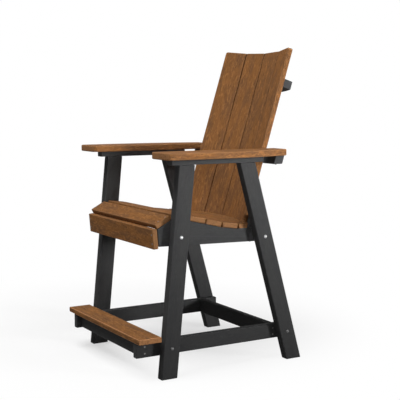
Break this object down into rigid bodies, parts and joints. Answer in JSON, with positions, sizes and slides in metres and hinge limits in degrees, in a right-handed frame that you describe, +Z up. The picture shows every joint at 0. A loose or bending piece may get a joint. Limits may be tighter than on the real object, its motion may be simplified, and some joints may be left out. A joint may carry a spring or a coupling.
{
  "type": "counter chair",
  "caption": "Counter-height outdoor armchair in two-tone plastic lumber, with an A-frame of splayed legs, contoured slatted seat, curved slatted back, broad arms and a footrest board.",
  "frame": {"origin": "on the floor, at the middle of the chair's bounding box", "axes": "+Z up, the sitter faces -Y, and +X is the sitter's left"},
  "size_m": [0.818, 0.8205, 1.301],
  "materials": {
    "black_lumber": "matt black plastic lumber with a fine brushed grain along each board",
    "brown_lumber": "warm brown plastic lumber with darker wood-like streaks and flecks along each board",
    "stainless_steel": "bright stainless steel"
  },
  "bodies": {
    "root": {"leg_front_left": "black_lumber", "leg_front_right": "black_lumber", "leg_rear_left": "black_lumber", "leg_rear_right": "black_lumber", "side_stretcher_left": "black_lumber", "side_stretcher_right": "black_lumber", "rear_stretcher": "black_lumber", "footrest_cross": "black_lumber", "footrest_board": "brown_lumber", "seat_rail_left": "black_lumber", "seat_rail_right": "black_lumber", "seat_slat_1": "brown_lumber", "seat_slat_2": "brown_lumber", "seat_slat_3": "brown_lumber", "seat_slat_4": "brown_lumber", "seat_slat_5": "brown_lumber", "seat_slat_6": "brown_lumber", "seat_apron": "brown_lumber", "arm_rail_left": "black_lumber", "arm_rail_right": "black_lumber", "arm_left": "brown_lumber", "arm_right": "brown_lumber", "back_slat_1": "brown_lumber", "back_slat_2": "brown_lumber", "back_slat_3": "brown_lumber", "back_slat_4": "brown_lumber", "back_rail_upper": "black_lumber", "back_rail_lower": "black_lumber", "back_rail_bottom": "black_lumber", "bolt_seat_front_left": "stainless_steel", "bolt_seat_front_right": "stainless_steel", "bolt_seat_rear_left": "stainless_steel", "bolt_seat_rear_right": "stainless_steel", "bolt_stretcher_front_left": "stainless_steel", "bolt_stretcher_front_right": "stainless_steel", "bolt_stretcher_rear_left": "stainless_steel", "bolt_stretcher_rear_right": "stainless_steel", "nut_seat_front_left": "stainless_steel", "nut_seat_front_right": "stainless_steel", "nut_seat_rear_left": "stainless_steel", "nut_seat_rear_right": "stainless_steel", "nut_stretcher_front_left": "stainless_steel", "nut_stretcher_front_right": "stainless_steel", "nut_stretcher_rear_left": "stainless_steel", "nut_stretcher_rear_right": "stainless_steel"}
  },
  "joints": []
}
